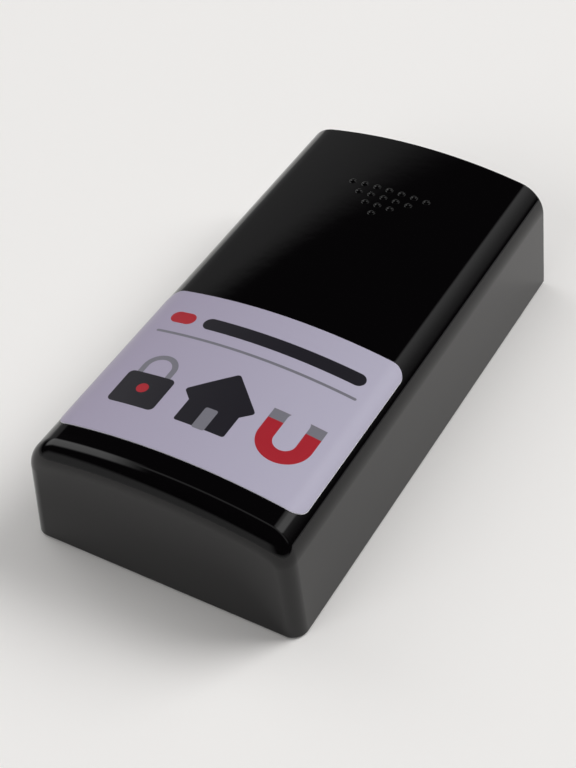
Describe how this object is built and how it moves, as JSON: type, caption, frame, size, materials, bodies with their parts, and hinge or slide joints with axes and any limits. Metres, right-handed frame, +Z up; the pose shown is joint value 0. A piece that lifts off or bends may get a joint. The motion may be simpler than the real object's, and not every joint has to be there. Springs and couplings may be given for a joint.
{
  "type": "magnetic key case",
  "caption": "Black plastic key case: a crowned cover slides lengthways off a shallow tray that two pot magnets hold to steel.",
  "frame": {"origin": "middle of the case in X and Y, on the plane of the magnets' holding faces, which is the lowest plane of the part", "axes": "+X across the case, the side seen at the right of the picture; +Y along the case from the rounded near end to the square far end; +Z up from the holding faces"},
  "size_m": [0.0614, 0.116, 0.0291],
  "materials": {
    "cover_plastic": "moulded ABS, black, polished",
    "tray_plastic": "moulded ABS, black, fine satin texture",
    "label_film": "printed vinyl film, semi-gloss",
    "cup_steel": "drawn steel, nickel plated",
    "ferrite": "sintered ferrite, ground face",
    "rivet_steel": "zinc-plated steel"
  },
  "bodies": {
    "base": {"tray": "tray_plastic", "magnet_cup_front": "cup_steel", "magnet_cup_rear": "cup_steel", "ferrite_ring_front": "ferrite", "ferrite_ring_rear": "ferrite", "rivet_front": "rivet_steel", "rivet_rear": "rivet_steel", "rivet_washer_front": "rivet_steel", "rivet_washer_rear": "rivet_steel"},
    "cover": {"cover": "cover_plastic", "label": "label_film"}
  },
  "joints": [
    {"name": "cover_slide", "type": "slide", "parent": "base", "child": "cover", "axis": [0, -1, 0], "range_m": [0, 0.12]}
  ]
}
